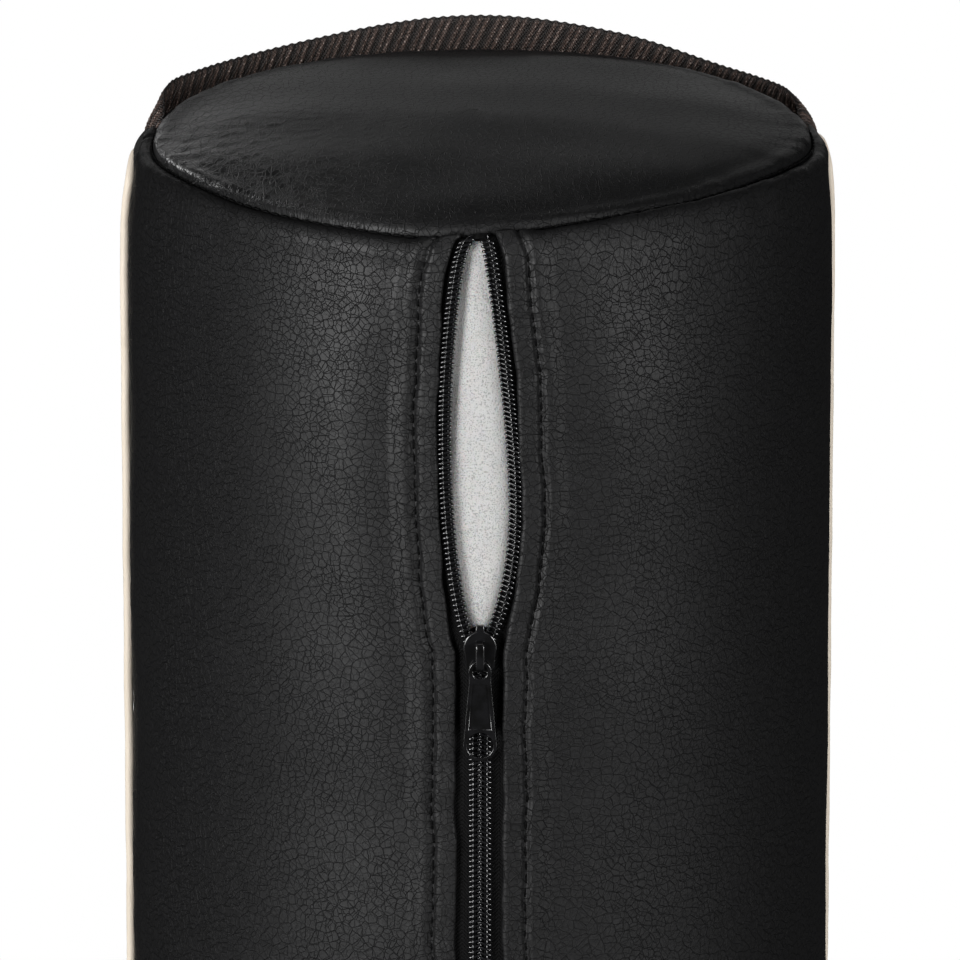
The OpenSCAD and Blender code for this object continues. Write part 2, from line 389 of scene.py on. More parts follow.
class Paint:
    """A short way to write a material's nodes."""

    def __init__(self, name):
        self.material = bpy.data.materials.new(name)
        self.material.use_nodes = True
        self.tree = self.material.node_tree
        self.bsdf = self.tree.nodes["Principled BSDF"]
        self.place = self.node("ShaderNodeTexCoord").outputs["Object"]

    def node(self, kind, inputs=None, **settings):
        """A new node with its settings and its inputs."""
        made = self.tree.nodes.new(kind)
        for key, value in settings.items():
            setattr(made, key, value)
        for key, value in (inputs or {}).items():
            self.feed(made.inputs[key], value)
        return made

    def feed(self, socket, value):
        """Links a socket to another node's output, or gives it a plain value."""
        if isinstance(value, bpy.types.NodeSocket):
            self.tree.links.new(value, socket)
        else:
            socket.default_value = value

    def set(self, **values):
        """Feeds the shader's inputs, named with _ for each space."""
        for key, value in values.items():
            self.feed(self.bsdf.inputs[key.replace("_", " ")], value)

    def math(self, operation, a, b=0.0):
        """Arithmetic on one or two numbers."""
        return self.node("ShaderNodeMath", {0: a, 1: b}, operation=operation).outputs[0]

    def vector(self, operation, *values):
        """Arithmetic on vectors."""
        return self.node("ShaderNodeVectorMath", dict(enumerate(values)), operation=operation).outputs[0]

    def wave(self, value, pitch):
        """A sine wave that repeats at a pitch."""
        return self.math("SINE", self.math("MULTIPLY", value, 2 * math.pi / pitch))

    def noise(self, scale, detail):
        """Noise in 0..1 with about this many grains to the metre."""
        inputs = {"Vector": self.place, "Scale": scale, "Detail": detail}
        return self.node("ShaderNodeTexNoise", inputs).outputs["Fac"]

    def cells(self, scale, at=None, flat=False):
        """Distance to the nearest edge of a network of cells."""
        made = self.node("ShaderNodeTexVoronoi", {"Vector": at or self.place, "Scale": scale},
                         feature="DISTANCE_TO_EDGE", voronoi_dimensions="2D" if flat else "3D")
        return made.outputs["Distance"]

    def span(self, value, low, high, to_low=0.0, to_high=1.0):
        """A smooth step from one value to another, as the input goes from low to high."""
        inputs = {"Value": value, "From Min": low, "From Max": high, "To Min": to_low, "To Max": to_high}
        return self.node("ShaderNodeMapRange", inputs, interpolation_type="SMOOTHSTEP").outputs["Result"]

    def mix(self, factor, a, b):
        """A blend of two colours."""
        made = self.node("ShaderNodeMix", data_type="RGBA")
        self.feed(made.inputs[0], factor)
        self.feed(made.inputs[6], a)
        self.feed(made.inputs[7], b)
        return made.outputs[2]

    def warped(self, scale, amount):
        """The place, pushed about by noise."""
        noise = self.node("ShaderNodeTexNoise", {"Vector": self.place, "Scale": scale, "Detail": 2.0})
        centred = self.vector("SUBTRACT", noise.outputs["Color"], (0.5, 0.5, 0.5))
        return self.vector("ADD", self.place, self.vector("MULTIPLY", centred, (amount,) * 3))

    def attribute(self, name, output="Fac"):
        """What store() kept under a name."""
        return self.node("ShaderNodeAttribute", attribute_name=name).outputs[output]

    def weave(self):
        """The numbers of the attribute weave, one output each."""
        return self.node("ShaderNodeSeparateXYZ", {0: self.attribute("weave", "Vector")}).outputs

    def relief(self, height, depth, strength):
        """Bumps in the surface, by a height and by the depth in metres that a height of 1 stands for."""
        inputs = {"Height": height, "Distance": depth, "Strength": strength}
        self.feed(self.bsdf.inputs["Normal"], self.node("ShaderNodeBump", inputs).outputs[0])


def leather_paint():
    """Black faux leather: flat angular plateaus between thin creases, painted near black as painted shade.

    The attribute sheet holds a place in millimetres, and crinkle says how crumpled the leather is there.
    Where it is crumpled, the creases are painted light instead, as painted highlights."""
    p = Paint("faux_leather")
    sheet = p.attribute("sheet", "Vector")
    drift = p.node("ShaderNodeTexNoise", {"Vector": sheet, "Scale": 0.45, "Detail": 2.0}).outputs["Color"]
    at = p.vector("MULTIPLY_ADD", drift, (0.9, 0.9, 0.9), sheet)
    aside = p.vector("ADD", at, (31.0, 17.0, 0.0))
    wide = p.span(p.cells(0.34, at, flat=True), 0.0, 0.055)
    close = p.span(p.cells(0.48, aside, flat=True), 0.0, 0.065)
    fine = p.span(p.cells(1.1, aside, flat=True), 0.0, 0.12, 0.72)
    patch = p.span(p.noise(60, 2), 0.4, 0.62, 0.0, 0.55)
    plateau = p.math("MINIMUM", wide, p.math("MAXIMUM", close, patch))
    smooth_patch = p.span(p.noise(170, 2), 0.45, 0.6, 1.0, 0.0)
    plateau = p.math("MINIMUM", plateau, p.math("MAXIMUM", fine, smooth_patch))
    mottle = p.span(p.noise(1400, 3), 0.25, 0.75)
    flat_tone = p.mix(mottle, (0.0042, 0.0042, 0.0045, 1), (0.0185, 0.0185, 0.0194, 1))
    crinkle = p.attribute("crinkle")
    # Painted shade and highlight: the creases are painted near black, and light where the leather is
    # crinkled.
    crease_shade_and_highlight = p.mix(p.span(crinkle, 0.05, 0.55), (0.0046, 0.0046, 0.0048, 1), (0.065, 0.065, 0.066, 1))
    p.set(Base_Color=p.mix(plateau, crease_shade_and_highlight, flat_tone))
    worn = p.math("MULTIPLY", p.span(crinkle, 0.0, 0.8), 0.2)
    p.set(Roughness=p.math("SUBTRACT", p.span(plateau, 0.0, 1.0, 0.62, 0.5), worn))
    p.set(Specular_IOR_Level=p.span(plateau, 0.0, 1.0, 0.2, 0.5))
    grain = p.math("MULTIPLY", p.noise(1300, 3), p.span(crinkle, 0.0, 0.4, 0.40, 0.08))
    height = p.math("ADD", p.math("MULTIPLY", plateau, 0.8), grain)
    p.relief(height, p.span(crinkle, 0.0, 0.6, 0.00013, 0.0011), 0.95)
    return p.material


def foam_paint():
    """White polyether foam with fine open cells, whose pores are painted darker as painted shade."""
    p = Paint("foam")
    cell = p.span(p.cells(1500, p.warped(700, 0.0004)), 0.0, 0.22)
    pore = p.span(p.noise(2400, 1), 0.52, 0.68)
    # Painted shade: the pores are painted darker, for the shade inside them.
    tone = p.mix(pore, (0.84, 0.835, 0.825, 1), (0.52, 0.52, 0.51, 1))
    p.set(Base_Color=tone, Roughness=0.92, Specular_IOR_Level=0.2)
    p.set(Subsurface_Weight=0.12, Subsurface_Scale=0.0015)
    height = p.math("SUBTRACT", cell, p.math("MULTIPLY", pore, 0.9))
    p.relief(height, 0.0002, 0.6)
    return p.material


def piping_paint():
    """Smooth cream vinyl."""
    p = Paint("piping")
    tone = p.mix(p.span(p.noise(45, 3), 0.3, 0.7), (0.90, 0.80, 0.67, 1), (0.85, 0.75, 0.62, 1))
    p.set(Base_Color=tone, Roughness=p.span(p.noise(300, 2), 0.2, 0.8, 0.42, 0.55))
    p.relief(p.math("ADD", p.noise(900, 2), p.span(p.cells(700), 0, 0.2)), 0.00005, 0.6)
    return p.material


def tape_paint():
    """Black woven zip tape in a herringbone. The attribute weave holds (across, along) in millimetres."""
    p = Paint("zip_tape")
    weave = p.weave()
    folded = p.math("PINGPONG", weave[0], 2.6)
    slant = p.math("SUBTRACT", weave[1], p.math("MULTIPLY", folded, 1.25))
    rib = p.wave(slant, 1.15)
    yarn = p.wave(weave[0], 0.42)
    height = p.math("ADD", rib, p.math("MULTIPLY", yarn, 0.35))
    height = p.math("ADD", height, p.noise(3000, 2))
    # Painted shade and light: the weave is painted darker in its grooves and lighter on its raised ribs.
    tone = p.mix(p.span(height, -0.8, 1.4), (0.0015, 0.0015, 0.0015, 1), (0.009, 0.009, 0.0095, 1))
    p.set(Base_Color=tone, Roughness=0.75, Specular_IOR_Level=0.25)
    p.relief(height, 0.00012, 0.9)
    return p.material


def gloss_paint(name, colour, roughness):
    """Glossy plastic with a little unevenness."""
    p = Paint(name)
    tone = p.mix(p.span(p.noise(500, 3), 0.3, 0.7), colour, tuple(1.5 * c for c in colour[:3]) + (1,))
    rough = p.span(p.noise(900, 3), 0.25, 0.75, roughness, roughness + 0.1)
    p.set(Base_Color=tone, Roughness=rough, Specular_IOR_Level=0.6)
    p.relief(p.noise(1600, 2), 0.00003, 0.5)
    return p.material


def enamel_paint():
    """The slider's glossy black enamel."""
    p = Paint("slider_enamel")
    tone = p.mix(p.span(p.noise(300, 3), 0.3, 0.7), (0.0025, 0.0025, 0.0025, 1), (0.005, 0.005, 0.0055, 1))
    p.set(Base_Color=tone, Roughness=p.span(p.noise(1100, 3), 0.25, 0.75, 0.10, 0.18))
    p.relief(p.noise(900, 2), 0.00004, 0.4)
    return p.material


def thread_paint(name, colour, pitch):
    """Twisted thread. The attribute weave holds (the angle round it, the distance along it)."""
    p = Paint(name)
    weave = p.weave()
    lay = p.math("ADD", p.math("MULTIPLY", weave[1], 2 * math.pi / pitch), weave[0])
    twist = p.math("SINE", lay)
    # Painted shade: the grooves between the plies are painted darker.
    tone = p.mix(p.span(twist, -1, 1), tuple(0.4 * c for c in colour[:3]) + (1,), colour)
    p.set(Base_Color=tone, Roughness=0.7, Specular_IOR_Level=0.15)
    p.relief(twist, 0.00005, 0.8)
    return p.material


def webbing_paint():
    """Dark brown webbing. Its ribs are in the mesh, and the attribute weave holds (across, along)."""
    p = Paint("webbing")
    weave = p.weave()
    yarn = p.math("MULTIPLY", p.wave(weave[0], YARN_PITCH), p.wave(weave[1], 0.9))
    slant = p.math("ADD", weave[1], p.math("MULTIPLY", weave[0], RIB_SLOPE))
    second = p.span(p.wave(slant, 2 * RIB_PITCH), -0.4, 0.7, 0.5, 1.15)
    ribs = p.math("MULTIPLY", p.math("MULTIPLY", p.attribute("raised"), second), 1.3)
    # Painted light: the raised ribs and yarns are painted lighter, and glint paints highlights on them.
    lit = p.math("ADD", p.math("MULTIPLY", yarn, 0.35), ribs)
    tone = p.mix(p.span(lit, 0.0, 1.5), (0.0025, 0.0016, 0.0013, 1), (0.085, 0.050, 0.038, 1))
    glint = p.math("MULTIPLY", p.span(p.noise(1500, 2), 0.50, 0.62), p.span(lit, 0.7, 1.5))
    tone = p.mix(glint, tone, (0.48, 0.39, 0.35, 1))
    p.set(Base_Color=tone, Roughness=0.5, Specular_IOR_Level=0.5)
    p.relief(p.math("ADD", yarn, p.math("MULTIPLY", p.noise(5200, 2), 0.8)), 0.0002, 0.9)
    return p.material


LEATHER = leather_paint()
FOAM = foam_paint()
PIPING = piping_paint()
TAPE = tape_paint()
NYLON = gloss_paint("coil_nylon", (0.004, 0.004, 0.0045, 1), 0.12)
ENAMEL = enamel_paint()
THREAD = thread_paint("black_thread", (0.004, 0.004, 0.0042, 1), 0.9)
CORD = thread_paint("cord", (0.75, 0.74, 0.70, 1), 1.2)
WEBBING = webbing_paint()

# ---------------------------------------------------------------- the cover's soft surface


def seam_pull(around, distance, seed):
    """Lift near a turned seam: a narrow ditch, a rolled edge beside it and small puckers."""
    ditch = -1.5 * bump(distance / 1.5)
    roll = 0.45 * bump((distance - 5.0) / 3.2)
    puckers = 0.30 * wander(around, 17, seed) * np.exp(-distance / 7) * ease(distance / 2)
    return ditch + roll + puckers


def wall_lift(across, down):
    """Lift of the wall's outer face above the plain surface, away from the hems."""
    end = np.minimum(down, WALL_LEN - down)
    left = np.abs(across - side_seam(down, -1))
    left = np.minimum(left, np.abs(across - side_seam(down, -1) - 2 * math.pi * RADIUS))
    right = np.abs(across - side_seam(down, 1))
    side = np.minimum(left, right)
    lift = seam_pull(across, end, 21) + 0.5 * bump((end - 4.8) / 3.6)
    beside = np.abs(across)
    stuffed = ease((beside - 12) / 24) * (1 - ease((beside - 50) / 70))
    lift = lift + 3.0 * stuffed * ease((end - 4) / 58) * (1 - ease((end - 60) / 170))
    lift = lift - 0.7 * bump(side / 1.6) + 0.22 * wander(down, 19, 22) * np.exp(-side / 8)
    lift = lift + 0.35 * wander2(across, down, 95, 23)
    lift = lift + 0.10 * wander2(across, down, 26, 24) * (0.4 + 0.6 * np.exp(-end / 60))
    return lift


def hem_lift(beyond, down, seed):
    """Lift over the folded hem, by the distance beyond its edge: a double thickness that stitches pinch."""
    fold = HEM_EXTRA * (1 - ease((beyond - 8.0) / 5.0))
    pinch = -1.3 * bump((beyond - HEM_W) / 0.9)
    pillow = 0.16 * np.cos(2 * math.pi * down / STITCH_PITCH) * bump((beyond - HEM_W) / 2.4)
    puckers = 0.16 * wander(down, 13, seed) * bump((beyond - 2.6) / 2.6)
    creases = 0.10 * wander(down + 1.2 * beyond, 5.5, seed + 5) * bump((beyond - 2.8) / 2.8)
    return fold + pinch + pillow + puckers + creases


ROWS = spaced([(0.25, 0.7), (10, 1.0), (44, 1.9), (250, 4.2), (WALL_LEN - 30, 1.6), (WALL_LEN - 0.25, 1)])


def front_panel(side):
    """One front panel, from its side seam to the rounded fold of its hem and back inside."""
    rows = ROWS[:, None]
    seam = side * side_seam(rows, side)
    last = seam[-1, 0] - HEM_EDGE - 0.5
    past = spaced([(0.0, 0.45), (HEM_W + 2, 0.7), (16, 1.5), (last - 8, 1.0), (last, 1)])
    edge = hem_edge(rows, side)
    reach = (seam - 0.5 - edge) / past[-1]
    beyond = past[None, :] * reach
    fold_turn = np.linspace(-math.pi / 2, math.pi / 2, 9)[1:-1]
    across = edge + FOLD_R + beyond * (1 - FOLD_R / (seam - 0.5 - edge))
    lift = wall_lift(side * across, rows) * ease((beyond - 1) / 9) + hem_lift(beyond, rows, 31 + side)
    thick = SKIN_T + HEM_EXTRA * (1 - ease((beyond - 8.0) / 3.0))
    low = lift - thick
    centre = (lift[:, :1] + low[:, :1]) / 2
    half = (lift[:, :1] - low[:, :1]) / 2
    fold_across = across[:, :1] - FOLD_R * np.cos(fold_turn)[None, :]
    fold_lift = centre + half * np.sin(fold_turn)[None, :]
    points, weights, sheet = [], [], []
    for fold_half, bulk in ((slice(3, None), lift), (slice(3, None, -1), low)):
        a = np.concatenate([fold_across[:, fold_half], across], axis=1)
        n = np.concatenate([fold_lift[:, fold_half], bulk], axis=1)
        weight = lip_weight(rows, side, hem_share(a))
        points.append(open_lip(place(side * a, rows, n), weight, side).reshape(-1, 3))
        weights.append(weight.ravel())
        sheet.append(triples(side * a, rows))
    obj = lip_piece(side_name("front_panel", side), side, np.concatenate(points), shell_faces(*a.shape),
                    LEATHER)
    store(obj, "sheet", np.concatenate(sheet))


def rear_panel():
    """The rear half of the cover, between the side seams."""
    left = (LEFT_SEAM + 2 * math.pi) * RADIUS
    right = RIGHT_SEAM * RADIUS
    cols = spaced([(right + 0.5, 1.0), (right + 10, 2.3), (left - 10, 1.0), (left - 0.5, 1)])[None, :]
    rows = ROWS[:, None]
    lean = side_seam(rows, 1) - right
    cols = cols + lean * (1 - 2 * (cols - right) / (left - right))
    lift = wall_lift(cols, rows)
    points = np.concatenate([place(cols, rows, n).reshape(-1, 3) for n in (lift, lift - SKIN_T)])
    obj = rigid_piece("rear_panel", points, shell_faces(*cols.shape), LEATHER)
    store(obj, "sheet", np.tile(triples(cols, rows), (2, 1)))


def cap_crinkle(theta, inward):
    """How crumpled a cap is: most at its left tip."""
    return bump((theta + math.radians(72)) / 0.7) * np.exp(-inward / 45) * ease(inward / 3)


def cap_lift(theta, inward):
    """Lift of a cap's outer face, by the angle round it and the distance inward from its seam."""
    around = theta * RADIUS
    lift = seam_pull(around, inward, 41)
    lift = lift + 0.16 * cap_crinkle(theta, inward) * wander2(around, inward, 8, 42)
    x, y = (RADIUS - inward) * np.sin(theta), (RADIUS - inward) * np.cos(theta)
    return lift + 0.5 * wander2(x, y, 80, 43) * ease(inward / 20)


def cap(name, top):
    """An end cap: a softly domed disc whose rim rolls into the seam."""
    inward = spaced([(0.25, 0.7), (12, 1.1), (34, 2.2), (CAP_ROLL + FLAT_R - 0.6, 1)])[:, None]
    theta = np.linspace(-math.pi, math.pi, 420, endpoint=False)[None, :]
    lift = cap_lift(theta, inward) if top else seam_pull(theta * RADIUS, inward, 44)
    down = -inward if top else WALL_LEN + inward
    rings = [place(theta * RADIUS, down, n) for n in (lift, lift - SKIN_T)]
    points, faces = lofts(np.concatenate([rings[0][::-1], rings[1]])[None])
    if not top:
        faces = [f[::-1] for f in faces]
    obj = rigid_piece(name, points, faces, LEATHER)
    reach = np.concatenate([inward[::-1], inward])
    x, y = (RADIUS - reach) * np.sin(theta), (RADIUS - reach) * np.cos(theta)
    drawn = 1 - 0.6 * ease((-x - 30) / 40)
    store(obj, "sheet", triples(x, (y - 20) * drawn))
    store(obj, "crinkle", (cap_crinkle(theta, reach) * top).ravel())


def foam_core():
    """The foam cylinder, which swells a little into the open mouth."""
    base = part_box("foam_core")[1].y / MM
    low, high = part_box("foam_core")[0].z / MM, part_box("foam_core")[1].z / MM - 11.0
    edge = 8.0
    fine = spaced([(-13, 0.6), (13, 0.6)]) / base
    theta = np.concatenate([fine, spaced([(13, 3), (2 * math.pi * base - 13, 3)])[1:-1] / base])[None, :]
    z = spaced([(high - edge, 0.8), (high - 130, 3.0), (low + edge, 1)])[:, None]
    down = down_at(z)
    gap = np.where(theta < math.pi, mouth_share(down, 1), mouth_share(down, -1)) * MOUTH_HALF_W + 1.0
    arc = np.minimum(theta, 2 * math.pi - theta) * base
    swell = 0.9 * (1 - ease((np.abs(arc) - gap + 2.6) / 2.8)) * ease(gap / 5) * (down < SLIDER_DOWN)
    swell = swell + 0.10 * wander2(theta * base, z, 9, 51) - 1.3 * bump((high - z) / 16)
    near_zip = bump(arc / 8)
    rims = []
    for sign, end, rise in ((1, high, 3.4 * near_zip), (-1, low, 0 * near_zip)):
        turn = np.linspace(math.pi / 2, 0, 7)[:-1, None]
        tight = edge * (1 - 0.1 * rise)
        inset = -1.3 * (sign > 0)
        rim_r = base + inset - tight * (1 - np.cos(turn))
        rims.append((rim_r, end + sign * (rise - tight * (1 - np.sin(turn)))))
    middle = (base + swell, z + (3.4 + edge * 0.34) * near_zip * ease((z - high + 30) / 22))
    hub = [(0.5 + 0 * theta, end + 0 * theta) for end in (high, low)]
    r = np.concatenate([hub[0][0], rims[0][0], middle[0], rims[1][0][::-1], hub[1][0]])
    h = np.concatenate([hub[0][1], rims[0][1], middle[1], rims[1][1][::-1], hub[1][1]])
    rings = np.stack([r * np.sin(theta), -r * np.cos(theta), h], axis=-1)[None]
    points, faces = lofts(rings)
    rigid_piece("foam_core", points, [f[::-1] for f in faces], FOAM)


def piping(side):
    """A welt in a side seam: a soft round tube that rises out of the seam, with a filler cord inside."""
    down = spaced([(0.6, 0.7), (30, 2.5), (WALL_LEN - 30, 0.7), (WALL_LEN - 0.6, 1)])
    end = np.minimum(down, WALL_LEN - down)
    rise = -2.4 + 3.4 * ease((end - 3) / 5) + 0.08 * wander(down, 33, 62)
    path = place(side_seam(down, side) + 0.12 * wander(down, 40, 61), down, rise)
    tubes = (("piping", 1.3, PIPING, "piping"), ("piping_cord", 0.6, CORD, "cord"))
    for stem, tube_r, material, slot in tubes:
        rings = tube_rings(path, tube_r * (1 + 0.03 * wander(down, 21, 63)), 20, outward(path))
        points, faces = lofts(rings[None])
        obj = rigid_piece(side_name(stem, side), points, faces, material)
        store(obj, "weave", points[:, [0, 2, 1]])


# ---------------------------------------------------------------- the zip


def zip_tape(side):
    """A woven tape from under the coil to under the hem."""
    sunk, half_t = -1.7, 0.3
    cols = spaced([(0.3, 0.8), (17, 1)])[None, :]
    rows = spaced([(0.5, 1.0), (12, 1.6), (250, 3.0), (WALL_LEN - 0.5, 1)])[:, None]
    share = 1 - (1 - HEM_SHARE) * ease((cols - 3) / 5)
    weight = lip_weight(rows, side, share)
    points = [open_lip(place(side * cols, rows, n), weight, side).reshape(-1, 3)
              for n in (sunk + half_t, sunk - half_t)]
    obj = lip_piece(side_name("zip_tape", side), side, np.concatenate(points), shell_faces(*weight.shape),
                    TAPE)
    store(obj, "weave", np.tile(triples(cols, rows), (2, 1)))


def coil_path(side, down, inset, lift):
    """Shut places along a coil, at an inset from its middle towards the shut centre line."""
    tilt = math.radians(4 if side < 0 else 28) * mouth_share(down, side)
    middle = COIL_W / 2 - COIL_MESH
    across = middle - inset * np.cos(tilt) - lift * np.sin(tilt)
    height = -0.2 + lift * np.cos(tilt) - inset * np.sin(tilt)
    return side * across, height


def fuller(wave, power):
    """A sine or cosine wave with squarer shoulders, for a power below 1."""
    return np.sign(wave) * np.abs(wave) ** power


def zip_coil(side):
    """A row of nylon loops: a wire wound flat, with swollen heads that mesh with the other side's."""
    steps = 20
    start = 2.2 if side < 0 else 2.2 + COIL_PITCH / 2
    loops = int((WALL_LEN - 6) / COIL_PITCH)
    turn = np.arange(loops * steps + 1) * 2 * math.pi / steps
    squash, wire_r = 0.72, 0.36
    inset = (COIL_W / 2 - wire_r) * fuller(np.cos(turn), squash)
    lift = 0.8 * fuller(np.sin(turn), squash)
    lift = lift - 0.25 * bump((inset - 0.75) / 0.35) * (lift > 0)
    down = start + COIL_PITCH * ((turn - 0.5 * np.sin(turn)) / (2 * math.pi) + 0.15 * (1 - np.cos(turn)))
    across, height = coil_path(side, down, inset, lift)
    shut = place(across, down, height)
    wire = wire_r * (1 + 0.12 * np.clip(np.cos(turn), 0, 1) ** 4)
    weight = lip_weight(down, side, 1.0)
    rings = tube_rings(shut, wire, 7, np.array([0.0, 0.0, 1.0]))
    rings = open_lip(rings, weight[:, None], side)
    points, faces = lofts(rings[None])
    lip_piece(side_name("zip_coil", side), side, points, faces, NYLON)


def along_coil(name, side, inset, lift, radius, material, sides=8, knots=None):
    """A cord or a thread that runs along a coil. Knots makes it dip between the loops."""
    down = spaced([(1.0, 0.36 if knots else 1.5), (WALL_LEN - 1.0, 1)])
    height = lift + (knots * np.cos(2 * math.pi * down / COIL_PITCH) if knots else 0 * down)
    across, rise = coil_path(side, down, inset + 0 * down, height)
    weight = lip_weight(down, side, 1.0)
    path = place(across, down, rise)
    rings = open_lip(tube_rings(path, radius, sides, outward(path)), weight[:, None], side)
    points, faces = lofts(rings[None])
    obj = lip_piece(side_name(name, side), side, points, faces, material)
    store(obj, "weave", triples(ring_angles(sides)[None, :], down[:, None]))


def topstitch(side):
    """The line of stitches along a hem. Each is a short thread that dives in at its ends."""
    name = side_name("topstitch", side)
    steps = np.linspace(-1, 1, 7)[None, :]
    down = np.arange(9.0, WALL_LEN - 9.0, STITCH_PITCH)[:, None] + 0.40 * STITCH_PITCH * steps
    across = hem_edge(down, side) + FOLD_R + HEM_W * 0.99
    weight = lip_weight(down, side, hem_share(across))
    path = place(side * across, down, 0.15 - 0.5 * np.abs(steps) ** 3)
    rings = open_lip(tube_rings(path, 0.27, 8, outward(path)), weight[..., None], side)
    points, faces = lofts(rings)
    obj = lip_piece(name, side, points, faces, THREAD)
    obj.name = name
    store(obj, "weave", triples(ring_angles(8), down[..., None]))


def zip_stop(name, down, sign):
    """A sewn bar across both tapes: a row of tight wraps of thread."""
    wraps = 4
    turn = np.linspace(0, 2 * math.pi * wraps, wraps * 14)
    half_w = 2.2
    a = half_w * np.cos(turn)
    d = down + sign * (turn / turn[-1] - 0.5) * 1.6
    path = place(a, d, -0.7 + 0.75 * np.sin(turn))
    points, faces = lofts(tube_rings(path, 0.26, 7, np.array([0.0, 0.0, 1.0]))[None])
    obj = rigid_piece(name, points, faces, THREAD)
    store(obj, "weave", triples(0.0, np.repeat(turn, 7)))


def seam_thread(name, top):
    """The cap seam's stitches, sunk in its ditch."""
    count = int(2 * math.pi * (RADIUS - 3) / 3.6)
    middle = np.linspace(-math.pi, math.pi, count, endpoint=False)
    steps = np.linspace(-1, 1, 5)
    theta = middle[:, None] + 0.4 * 2 * math.pi / count * steps[None, :]
    lift = -0.7 - 0.4 * np.abs(steps) ** 3
    down = 0.0 if top else WALL_LEN
    path = place(theta * RADIUS, down, lift + 0 * theta)
    points, faces = lofts(tube_rings(path, 0.3, 6, outward(path)))
    obj = rigid_piece(name, points, faces, THREAD)
    store(obj, "weave", triples(0.0, points[:, 0]))


# ---------------------------------------------------------------- the slider


def plate(outlines, near, far, bevel, z_mid):
    """Points and faces of a flat plate with rounded edges, drawn as closed outlines in x and height."""
    curve = bpy.data.curves.new("plate", "CURVE")
    curve.dimensions = "2D"
    curve.fill_mode = "BOTH"
    curve.extrude = (far - near) / 2 - bevel
    curve.bevel_depth = bevel
    curve.bevel_resolution = 3
    curve.offset = -bevel
    for outline in outlines:
        spline = curve.splines.new("POLY")
        spline.points.add(len(outline) - 1)
        spline.use_cyclic_u = True
        for point, (x, z) in zip(spline.points, outline):
            point.co = (x, z, 0, 1)
    holder = bpy.data.objects.new("plate", curve)
    bpy.context.scene.collection.objects.link(holder)
    bpy.context.view_layer.update()
    mesh = bpy.data.meshes.new_from_object(holder)
    flat = np.array([v.co for v in mesh.vertices]).reshape(-1, 3)
    faces = [list(f.vertices) for f in mesh.polygons]
    bpy.data.objects.remove(holder)
    points = np.stack([flat[:, 0], -(near + far) / 2 - flat[:, 2], z_mid + flat[:, 1]], axis=-1)
    return points, faces


def joined(parts):
    """One list of points and faces from several."""
    points, faces, count = [], [], 0
    for p, f in parts:
        points.append(p)
        faces.extend([[i + count for i in face] for face in f])
        count += len(p)
    return np.concatenate(points), faces


def circle(cx, cz, r, start=0.0, end=360.0, steps=40):
    """Points of a circle, or of an arc between two angles in degrees."""
    turn = np.radians(np.linspace(start, end, steps, endpoint=abs(end - start) < 360))
    return [(cx + r * math.cos(t), cz + r * math.sin(t)) for t in turn]


def rod(path, width, thickness, corner):
    """A bent flat bar with rounded edges. The path lies in y and z, and width runs along x.

    A corner of 1 makes an oval bar, and less makes it squarer."""
    turn = ring_angles(20)
    cx = width / 2 * fuller(np.cos(turn), corner)
    cy = thickness / 2 * fuller(np.sin(turn), corner)
    tangent = unit(np.gradient(path, axis=0))
    side = np.array([1.0, 0.0, 0.0])
    up = np.cross(tangent, side)
    rings = path[:, None, :] + cx[None, :, None] * side + cy[None, :, None] * up[:, None, :]
    return lofts(rings[None])


WING_IN = -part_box("slider_crown")[1].y / MM - 1.2
WING_OUT = WING_IN + 1.2
CROWN_OUT = -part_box("slider_crown")[0].y / MM


def slider_body():
    """Two wings joined by a post, with rails that hold the coils together below it."""
    lift, radius, foot, foot_w = 1.2, 4.6, -6.0, 3.9
    shield = circle(0, lift, radius, -12, 192, 30)
    shield += [(-foot_w, foot + 1.2), (-foot_w + 1, foot), (foot_w - 1, foot), (foot_w, foot + 1.2)]
    nose = [(-1.25, 4.6), (1.25, 4.6), (1.05, 7.3), (-1.05, 7.3)]
    post = [(-0.95, 2.7), (0.95, 2.7), (0.95, 5.3), (-0.95, 5.3)]
    heel = RADIUS - 2.2
    parts = [
        plate([shield], WING_IN, WING_OUT, 0.42, SLIDER_Z),
        plate([shield], heel - 1.0, heel, 0.3, SLIDER_Z),
        plate([nose], WING_IN - 0.9, WING_OUT - 0.35, 0.3, SLIDER_Z),
        plate([post], heel - 0.2, WING_IN + 0.2, 0.2, SLIDER_Z),
    ]
    for side in (-1, 1):
        rail = [(side * 3.35, foot + 0.2), (side * 4.1, foot + 1.2), (side * 4.3, -0.6), (side * 3.45, -0.6)]
        parts.append(plate([rail], RADIUS - 1.05, WING_IN + 0.3, 0.15, SLIDER_Z))
    points, faces = joined(parts)
    rigid_piece("slider_body", points, faces, ENAMEL, "slider")


def slider_crown():
    """The bridge: a flat bar that rises from the wing, runs over the pull tab's eye and comes back down."""
    low, high = -4.55, 2.6
    top = CROWN_OUT - 0.4
    corner = 1.1
    quarter = np.linspace(0, 1.57, 8)
    path = [(WING_OUT - 0.2, low), (top - corner, low)]
    path += [(top - corner + corner * math.sin(t), low + corner * (1 - math.cos(t))) for t in quarter]
    path += [(top + 0.12 * math.sin(math.pi * t), low + corner + (high - low - 2 * corner) * t)
             for t in np.linspace(0.05, 0.95, 10)]
    path += [(top - corner + corner * math.cos(t), high - corner + corner * math.sin(t)) for t in quarter]
    path += [(WING_OUT - 0.2, high)]
    line = np.array([(0.0, -y, SLIDER_Z + z) for y, z in path])
    points, faces = rod(line, 2.3, 0.85, 0.55)
    rigid_piece("slider_crown", points, faces, ENAMEL, "slider")


